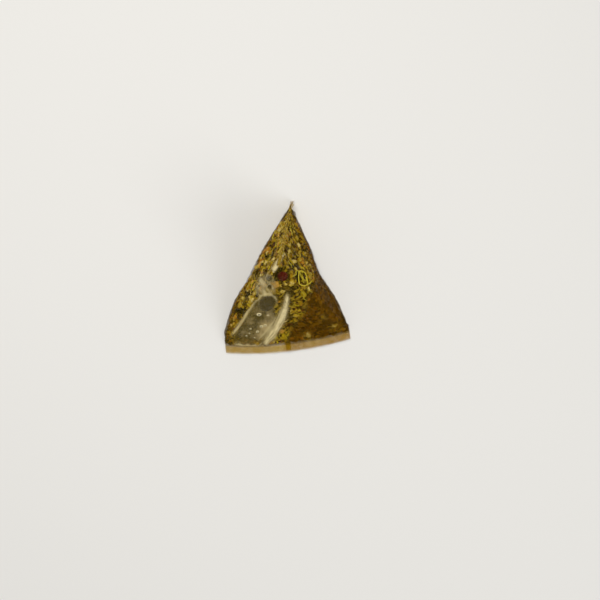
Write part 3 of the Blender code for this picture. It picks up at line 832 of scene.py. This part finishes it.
# Each kind of crumb: its shape, look and slot, how many, their sizes and how far they tip
crumbs = {
    "leafFlakes": (leafShape, "leaf", "leaf", 5000, (0.0012, 0.0034), 26),
    "rootChips": (chipShape, "root", "root", 2300, (0.0007, 0.0021), 30),
    "petalStraps": (strapShape, "petal", "petal", 900, (0.0026, 0.0060), 20),
    "stalkBits": (stalkShape, "stem", "stem", 750, (0.0025, 0.0070), 14),
    "darkGrains": (grainShape, "grain", "seed", 3400, (0.0005, 0.0015), 40),
    "peelChips": (chipShape, "peel", "peel", 200, (0.0010, 0.0024), 20),
    "floretCurls": (curlShape, "thread", "petal", 420, (0.0022, 0.0044), 22),
}


# The larger cuts, and how far round each no crumb lies
cutTree = KDTree(len(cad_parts))
cutReach, bareCuts = [], []
roundCut, deepCrumb, wideCrumb, nearCut = bed["clear"]
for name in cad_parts:
    if name not in ("filter_bag", "herb_bed"):
        low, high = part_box(name)
        middle, length = (low + high) / 2, (high - low).length
        cutTree.insert(middle, len(cutReach))
        cutReach.append(roundCut * length)
        if name in bed["seenClearly"]:
            bareCuts.append((middle, bed["seenClearly"][name] * length))
cutTree.balance()


# Whether a crumb of this size and depth would lie over one of the larger cuts
def hidesCut(point, size, depth):
    nearest, index, gap = cutTree.find(point)
    if gap < cutReach[index] * (1.0 if depth < bed["shallow"] else bed["behind"]) + deepCrumb * size:
        return True
    for middle, reach in bareCuts:
        offset = point - middle
        nearer = offset.dot((eye - middle).normalized())
        beside = math.sqrt(max(offset.length_squared - nearer * nearer, 0.0))
        over = nearer > -bed["below"] and beside < reach + wideCrumb * size
        if over or offset.length < nearCut * reach:
            return True
    return False


# How far a crumb's worst point comes past the cloth's inner face, and the way back in from there
def pokesOut(mesh):
    worst, inward = 0.0, Vector()
    for vert in mesh.vertices:
        hit, normal, index, gap = clothTree.find_nearest(vert.co)
        reach = vert.co - heart
        outside = clothTree.ray_cast(heart, reach.normalized(), reach.length)[0] is not None
        over = bed["underCloth"] + (gap if outside else -gap)
        if over > worst:
            worst = over
            inward = hit - vert.co if outside else vert.co - hit
    return worst, inward.normalized() if worst else inward


def placeFor(share, along, depth, spin, tilt, roll):
    out, ahead = outwardAt(share, along, depth)
    ahead = (ahead - ahead.dot(out) * out).normalized()
    turned = Matrix((ahead.cross(out), ahead, out)).transposed().to_4x4()
    point = foldPoint(share, along, depth)
    tipped = Matrix.Rotation(spin, 4, "Z") @ Matrix.Rotation(tilt, 4, "X") @ Matrix.Rotation(roll, 4, "Y")
    return point, out, Matrix.Translation(point) @ turned @ tipped


def clusterAt(point):
    x, y = onTable(point)
    for middleX, middleY, spread, tone, *kinds in marks["clusters"]:
        if math.hypot(x - middleX, y - middleY) < spread:
            return tone, kinds
    return None


# Pushes a scrap back in until the cloth covers it, and says how far it still comes through
def pushUnder(mesh):
    over, inward = pokesOut(mesh)
    for push in range(3):
        if 0 < over < bed["mostPushed"]:
            mesh.transform(Matrix.Translation(inward * over * 1.1))
            over, inward = pokesOut(mesh)
    return over


def paintScrap(mesh, tone, soak):
    count = len(mesh.vertices)
    for layer, value in (("tone", tone), ("soak", soak)):
        if layer not in mesh.attributes:
            mesh.attributes.new(layer, "FLOAT", "POINT")
        mesh.attributes[layer].data.foreach_set("value", [value] * count)


def scatterCrumbs(name, seed):
    shape, look, slotName, count, sizes, tip = crumbs[name]
    rng = random.Random(seed)
    shapes = []
    for variant in range(4):
        shapes.append(meshFrom(shape(variant + seed), f"{name}Shape{variant}"))
        paintScrap(shapes[-1], 0.0, 0.0)
    heap = bmesh.new()
    placed = 0
    while placed < count:
        share, along = rng.random(), rng.uniform(*bed["ends"])
        size = rng.uniform(*sizes) * (0.8 + 0.4 * rng.random())
        tilt = math.radians(rng.gauss(0, tip / 2))
        roll = math.radians(rng.gauss(0, tip / 2))
        layerRoom = lean * min(sectionAt(along))
        top = bed["top"] + 0.5 * size * abs(math.sin(tilt)) + pocketAt(share, along) * 0.9
        depth = top + rng.random() ** bed["packing"] * bed["reachDown"]
        if depth > layerRoom * bed["thinPart"][1]:
            depth = layerRoom * rng.uniform(*bed["thinPart"])
            if depth < bed["thinDepth"] or size > bed["tallest"] * layerRoom:
                size = min(size, max(bed["tallest"] * layerRoom, bed["smallest"]))
        point, out, place = placeFor(share, along, depth, rng.uniform(0, 2 * math.pi), tilt, roll)
        shown = marksAt(point, out)
        if shown["air"] > bed["airShown"] and rng.random() < bed["emptied"]:
            continue
        tone = within(rng.gauss(*bed["tones"]))
        spot = clusterAt(point) if out.z > 0 else None
        if spot and look in spot[1]:
            tone = within(rng.gauss(spot[0], bed["clusterTones"]))
            depth = min(depth, bed["clusterTop"])
        elif spot and rng.random() < 1 - bed["clusterOthers"]:
            continue
        if hidesCut(point, size, depth):
            continue
        mesh = shapes[placed % 4].copy()
        mesh.transform(place @ Matrix.Scale(size, 4))
        if pushUnder(mesh) <= bed["underCloth"] / 2:
            placed += 1
            paintScrap(mesh, tone, shown["soak"])
            heap.from_mesh(mesh)
        bpy.data.meshes.remove(mesh)
    for mesh in shapes:
        bpy.data.meshes.remove(mesh)
    piece = finishObject(name, heap, cutMaterials[look], angle=45)
    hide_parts("herb_bed")
    print(name, placed, "placed,", sum(len(p.vertices) - 2 for p in piece.data.polygons), "triangles")


for number, name in enumerate(crumbs):
    scatterCrumbs(name, 11 + number)


# Where the camera's line to a place on the table meets the cloth, and the way out of it there
def onCloth(x, y):
    aim = (Vector((x / 1000, y / 1000, 0.0)) - eye).normalized()
    hit, normal, index, gap = clothTree.ray_cast(eye, aim)
    if hit is None:
        return None, None
    return hit, normal if normal.dot(aim) < 0 else -normal


def standAt(point, out, size, turn=0.0):
    turned = out.to_track_quat("Z", "Y").to_matrix().to_4x4() @ Matrix.Rotation(turn, 4, "Z")
    return Matrix.Translation(point) @ turned @ Matrix.Scale(size, 4)


# Scraps that are seen one by one: the place on the table and the length in millimetres, tone and turn
scraps = {
    "peel": [
        (-8.4, 11.7, 2.7, 0.45, 20), (-9.6, 10.6, 1.9, 0.35, 70), (-2.0, -22.1, 2.3, 0.60, 40),
        (-3.4, -20.4, 1.4, 0.5, 0),
    ],
    "root": [
        (-8.9, 6.0, 1.7, 0.95, 10), (-12.3, 4.5, 1.6, 0.85, 50), (-3.6, 19.4, 2.0, 1.0, 30),
        (-3.0, 22.2, 1.4, 0.85, 80), (9.9, 4.8, 1.7, 0.9, 85), (2.2, -2.6, 1.8, 0.8, 20),
        (-0.6, -3.1, 1.3, 0.85, 60), (1.4, 13.0, 1.7, 0.75, 35), (8.2, -23.5, 2.3, 0.9, 75),
        (9.5, -26.6, 1.3, 1.0, 20), (-14.6, -9.0, 1.7, 0.95, 45), (-13.4, -6.4, 1.3, 0.8, 5),
        (4.4, 16.0, 1.8, 0.65, 15), (4.0, 3.6, 1.4, 0.8, 60), (-11.0, 1.0, 1.0, 1.0, 30),
    ],
    "leaf": [
        (0.8, -4.8, 2.8, 0.10, 80), (-1.2, -5.2, 2.2, 0.14, 20), (3.0, -5.4, 2.2, 0.10, 110),
        (-19.5, -12.4, 2.3, 0.08, 30), (-18.2, -14.0, 2.0, 0.12, 90), (-20.4, -15.6, 2.1, 0.10, 150),
        (-23.0, -26.0, 3.2, 0.06, 120), (7.4, 11.2, 2.2, 0.14, 60), (-12.4, 1.8, 2.0, 0.10, 40),
        (-15.8, -6.4, 1.8, 0.14, 100), (2.8, 4.4, 2.0, 0.2, 70), (4.6, 6.2, 1.7, 0.15, 10),
        (-10.2, 8.4, 1.7, 0.15, 140),
    ],
    "grain": [
        (1.3, 20.3, 2.3, 0.40, 70), (0.2, 10.9, 1.6, 0.35, 20), (-5.7, 13.1, 1.9, 0.75, 80),
        (-2.4, -25.6, 2.4, 0.62, 100), (18.6, -12.9, 2.0, 0.80, 30), (-0.4, 23.8, 1.7, 0.3, 50),
        (-3.2, 25.0, 1.5, 0.35, 90), (12.2, -1.2, 1.4, 0.6, 0),
    ],
    "petal": [
        (19.6, -20.0, 2.6, 0.9, 40), (17.8, -17.6, 2.2, 0.8, 100), (6.4, 4.2, 2.4, 0.9, 70),
        (7.6, 5.0, 1.9, 0.95, 150),
    ],
}


def plantScraps(kind, seed):
    shape, slotName = next((row[0], row[2]) for row in crumbs.values() if row[1] == kind)
    heap = bmesh.new()
    for number, (x, y, size, tone, turn) in enumerate(scraps[kind]):
        hit, out = onCloth(x, y)
        if hit is None:
            continue
        mesh = meshFrom(shape(number + seed), "scrap")
        length = size / 1000
        skin, sunk = bed["scrapDeep"]
        point = hit - out * (skin + sunk * length)
        mesh.transform(standAt(point, out, length, math.radians(turn)))
        if pushUnder(mesh) < bed["underCloth"] / 2:
            paintScrap(mesh, tone, 0.5 * marksAt(point, out)["soak"])
            heap.from_mesh(mesh)
        bpy.data.meshes.remove(mesh)
    piece = finishObject("clear" + kind.capitalize(), heap, cutMaterials[kind], angle=45)
    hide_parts("herb_bed")


for number, kind in enumerate(scraps):
    plantScraps(kind, 40 + number)
print("clear scraps planted")


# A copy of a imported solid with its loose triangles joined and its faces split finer
def finerCopy(nodeName, cuts, smooth):
    bm = bmesh.new()
    bm.from_mesh(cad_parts[nodeName].data)
    bmesh.ops.remove_doubles(bm, verts=bm.verts, dist=1e-6)
    bmesh.ops.subdivide_edges(bm, edges=bm.edges[:], cuts=cuts, use_grid_fill=True, smooth=smooth)
    bm.normal_update()
    return bm


def roughen(bm, height, scale, sunk=0.0):
    shifts = [vert.normal * height * (noise.noise(vert.co / scale) - sunk) for vert in bm.verts]
    for vert, shift in zip(bm.verts, shifts):
        vert.co += shift


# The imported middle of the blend
core = {
    "lumpSize": 0.0016,
    "lump": 0.0005,
    "sunk": 0.4,
    "grain": (700.0, 6.0, 0.7),
    "bump": 0.0005,
    "colours": [(0.30, (0.012, 0.009, 0.001)), (0.46, (0.050, 0.037, 0.003)),
                (0.56, (0.12, 0.088, 0.008)), (0.66, (0.32, 0.24, 0.03))],
}


def makeCore():
    material, tree, shader = newMaterial("packedBlendWet")
    fine = noiseOf(tree, *core["grain"])
    tree.links.new(rampOf(tree, fine, core["colours"]), shader.inputs["Base Color"])
    setSockets(shader, {"Roughness": 0.6, "Specular IOR Level": 0.03})
    bumpOn(tree, shader, fine, core["bump"])
    bm = finerCopy("herb_bed", 1, 0.4)
    roughen(bm, core["lump"], core["lumpSize"], core["sunk"])
    piece = finishObject("packedBlend", bm, material)
    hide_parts("herb_bed")


makeCore()
print("packed blend made")


# The larger cuts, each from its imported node: look, slot, roughness and its scale, and finer cuts
cutFinish = {
    "leaf_cut": ("leaf", "leaf", 0.00010, 0.0016, 2),
    "root_cut": ("root", "root", 0.00012, 0.0009, 1),
    "petal": ("petal", "petal", 0.00006, 0.0012, 2),
    "petal_curl": ("thread", "petal", 0.00006, 0.0010, 1),
    "stem_cut": ("stem", "stem", 0.00006, 0.0010, 1),
    "seed": ("grain", "seed", 0.00005, 0.0007, 1),
    "rosehip_shell": ("hip", "rosehip", 0.00010, 0.0014, 1),
    "peel_cut": ("peel", "peel", 0.00014, 0.0010, 1),
    "flower_head": ("petal", "flower", 0.00010, 0.0006, 2),
}


def dressCut(nodeName, seed):
    look, slotName, height, scale, cuts = cutFinish[nodeName.rsplit("_", 1)[0]]
    bm = finerCopy(nodeName, cuts, 0.3)
    tone = bm.verts.layers.float.new("tone")
    soak = bm.verts.layers.float.new("soak")
    base = random.Random(seed).uniform(0.35, 0.8)
    roughen(bm, height, scale)
    for vert in bm.verts:
        vert[tone] = base
        vert[soak] = marksAt(vert.co, vert.normal)["soak"] if vert.normal.z > 0 else 0.5
    words = nodeName.split("_")
    pieceName = words[0] + "".join(word.capitalize() for word in words[1:])
    piece = finishObject(pieceName, bm, cutMaterials[look])
    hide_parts(nodeName)


for number, nodeName in enumerate(sorted(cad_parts)):
    if nodeName not in ("filter_bag", "herb_bed"):
        dressCut(nodeName, number)
print("larger cuts dressed")


# Threads and the dried floret that lie against the inside of the cloth, in millimetres on the table
strands = {
    # Each strand's line, half its thickness and its tone
    "lines": [
        ([(5.1, 2.6), (5.0, 0.8), (5.1, -1.0), (5.3, -2.6), (6.3, -3.3), (7.7, -3.4), (8.6, -2.8),
          (8.5, -1.3), (8.3, 0.4), (7.7, 1.9), (6.7, 2.7), (5.8, 2.8), (5.0, 2.2)], 0.21, 0.78),
        ([(2.7, 0.6), (3.5, 0.8), (4.1, 1.5), (3.7, 2.4), (4.6, 3.0), (5.2, 2.2)], 0.17, 0.85),
        ([(8.6, -2.8), (9.7, -2.1), (10.2, -1.3)], 0.18, 0.8),
        ([(6.2, 1.4), (6.9, 0.4), (6.4, -0.8), (7.0, -2.0)], 0.15, 0.5),
        ([(8.3, -4.2), (9.3, -5.3), (10.4, -6.0)], 0.17, 0.5),
        ([(-1.0, 19.8), (0.0, 18.4), (0.9, 17.3), (2.7, 19.3)], 0.16, 0.95),
        ([(-4.0, 21.4), (-4.8, 19.4), (-5.6, 17.4), (-6.2, 15.6)], 0.17, 1.0),
        ([(-1.2, 10.4), (-1.6, 9.2), (-2.0, 8.0)], 0.18, 0.9),
        ([(-2.2, 13.1), (-3.0, 11.6), (-4.0, 9.9)], 0.15, 0.8),
        ([(6.0, -6.0), (7.2, -7.2), (6.6, -8.6), (7.8, -9.4)], 0.15, 0.6),
    ],
    "steps": 4,
    "smoothings": 3,
    "sides": 6,
    "deep": 0.00022,
    "gap": 0.0020,
}


def strandPath(line, half):
    steps = strands["steps"]
    flat = []
    for (ax, ay), (bx, by) in zip(line, line[1:]):
        for i in range(steps):
            flat.append(Vector((ax + (bx - ax) * i / steps, ay + (by - ay) * i / steps, 0.0)))
    flat.append(Vector((*line[-1], 0.0)))
    for smoothing in range(strands["smoothings"]):
        inner = [(before + 2 * here + after) / 4 for before, here, after in zip(flat, flat[1:], flat[2:])]
        flat = [flat[0]] + inner + [flat[-1]]
    path = []
    for place in flat:
        hit, out = onCloth(place.x, place.y)
        if hit is None:
            continue
        point = hit - out * (strands["deep"] + half)
        reach = point - heart
        covered = clothTree.ray_cast(heart, reach.normalized(), reach.length)[0] is None
        if covered and (not path or (point - path[-1]).length < strands["gap"]):
            path.append(point)
    return path


def makeStrands():
    bm = bmesh.new()
    tone = bm.verts.layers.float.new("tone")
    bm.verts.layers.float.new("soak")
    for line, halfWidth, shade in strands["lines"]:
        half = halfWidth * 0.001
        path = strandPath(line, half)
        if len(path) < 4:
            continue
        pairs = zip(path[:1] + path, path[1:] + path[-1:])
        ways = [(after - before).normalized() for before, after in pairs]
        turns = [way.to_track_quat("Z", "Y").to_matrix().to_4x4() for way in ways]
        start = Matrix.Translation(path[0]) @ turns[0]
        verts = bmesh.ops.create_circle(
            bm, cap_ends=True, radius=half, segments=strands["sides"], matrix=start
        )["verts"]
        edges = list({edge for vert in verts for edge in vert.link_edges})
        every = verts[:]
        for i in range(1, len(path)):
            grown = bmesh.ops.extrude_edge_only(bm, edges=edges)["geom"]
            verts = [item for item in grown if isinstance(item, bmesh.types.BMVert)]
            edges = [item for item in grown if isinstance(item, bmesh.types.BMEdge)]
            edges = [edge for edge in edges if set(edge.verts) <= set(verts)]
            turn = turns[i] @ turns[i - 1].inverted()
            move = Matrix.Translation(path[i]) @ turn @ Matrix.Translation(-path[i - 1])
            bmesh.ops.transform(bm, matrix=move, verts=verts)
            every += verts
        bmesh.ops.contextual_create(bm, geom=edges)
        for vert in every:
            vert[tone] = shade
    bmesh.ops.recalc_face_normals(bm, faces=bm.faces)
    piece = finishObject("clearThreads", bm, cutMaterials["thread"], angle=60)
    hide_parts("herb_bed")


makeStrands()
print("threads laid")


# Small bubbles of air under the cloth, painted dark in the middle as shade and pale at the rim as a
# painted highlight
bubbles = {
    "spots": [
        (-11.2, -14.8, 0.95), (-10.2, -19.6, 0.66), (-8.7, -19.2, 0.58), (-11.8, -21.7, 0.58),
        (-14.6, -20.6, 0.42), (-7.6, -15.2, 0.42), (-16.2, -23.4, 0.38), (-15.0, -22.4, 0.34),
        (-13.0, -24.2, 0.36),
    ],
    # Half the section of a bubble, from its top to its outer foot, as shares of its radius
    "section": [
        (0.0, 0.34), (0.40, 0.30), (0.68, 0.20), (0.80, 0.20), (0.90, 0.22), (1.0, 0.12), (1.02, -0.08),
        (0.0, -0.08),
    ],
    "rimFrom": 0.64,
    # Painted shade in the middle of each bubble and a painted highlight on its rim
    "glass": (0.052, 0.040, 0.012),
    "rim": (0.86, 0.74, 0.40),
}


def bubbleMaterial():
    material, tree, shader = newMaterial("trappedAirFilm")
    # The rim carries the painted highlight, the rest the painted shade
    rim = attributeOf(tree, "rim")
    tree.links.new(valueMix(tree, rim, 0.82, 0.92), shader.inputs["Alpha"])
    tree.links.new(blendOf(tree, rim, bubbles["glass"], bubbles["rim"]), shader.inputs["Base Color"])
    shader.inputs["Roughness"].default_value = 0.08
    return material


def bubbleShape():
    bm = bmesh.new()
    verts = [bm.verts.new((x, 0.0, z)) for x, z in bubbles["section"]]
    edges = [bm.edges.new(pair) for pair in zip(verts, verts[1:])]
    bmesh.ops.spin(bm, geom=verts + edges, cent=(0, 0, 0), axis=(0, 0, 1), angle=2 * math.pi, steps=22,
                   use_merge=True)
    bmesh.ops.remove_doubles(bm, verts=bm.verts, dist=1e-5)
    bmesh.ops.recalc_face_normals(bm, faces=bm.faces)
    layer = bm.verts.layers.float.new("rim")
    for vert in bm.verts:
        vert[layer] = float(math.hypot(vert.co.x, vert.co.y) > bubbles["rimFrom"])
    return bm


def makeBubbles():
    look = bubbleMaterial()
    heap = bmesh.new()
    for x, y, radius in bubbles["spots"]:
        hit, out = onCloth(x, y)
        mesh = meshFrom(bubbleShape(), "bubbleCap")
        mesh.transform(standAt(hit, out, radius / 1000))
        heap.from_mesh(mesh)
        bpy.data.meshes.remove(mesh)
    finishObject("trappedBubbles", heap, look, angle=50)


makeBubbles()
print("bubbles made")


# Floor and soft light
studio = {
    "floorSize": 1.6,
    "floorColour": (0.78, 0.77, 0.74),
    "floorRough": 0.7,
    # Each light's place, size, power and colour
    "lights": {
        "windowLight": ((-0.14, 0.24, 0.75), 0.35, 3.9, (1.0, 0.98, 0.95)),
        "fillLight": ((0.45, -0.40, 0.55), 0.5, 1.7, (0.98, 0.99, 1.0)),
    },
    "roomColour": (0.98, 0.98, 0.98),
    "roomPower": 0.35,
}


bm = bmesh.new()
bmesh.ops.create_grid(bm, x_segments=1, y_segments=1, size=studio["floorSize"] / 2)
material, tree, shader = newMaterial("paleFloorPaint")
setSockets(shader, {"Base Color": (*studio["floorColour"], 1.0), "Roughness": studio["floorRough"]})
floor = bpy.data.objects.new("paleFloor", meshFrom(bm, "paleFloor"))
floor.data.materials.append(material)
scene.collection.objects.link(floor)
for name, (place, size, power, colour) in studio["lights"].items():
    light = bpy.data.lights.new(name, "AREA")
    light.shape, light.size, light.energy, light.color = "DISK", size, power, colour
    lamp = bpy.data.objects.new(name, light)
    lamp.location = place
    lamp.rotation_euler = (-Vector(place)).to_track_quat("-Z", "Y").to_euler()
    scene.collection.objects.link(lamp)
world = bpy.data.worlds.new("softRoom")
world.use_nodes = True
room = {"Color": (*studio["roomColour"], 1.0), "Strength": studio["roomPower"]}
setSockets(world.node_tree.nodes["Background"], room)
scene.world = world
scene.view_settings.view_transform = "Standard"
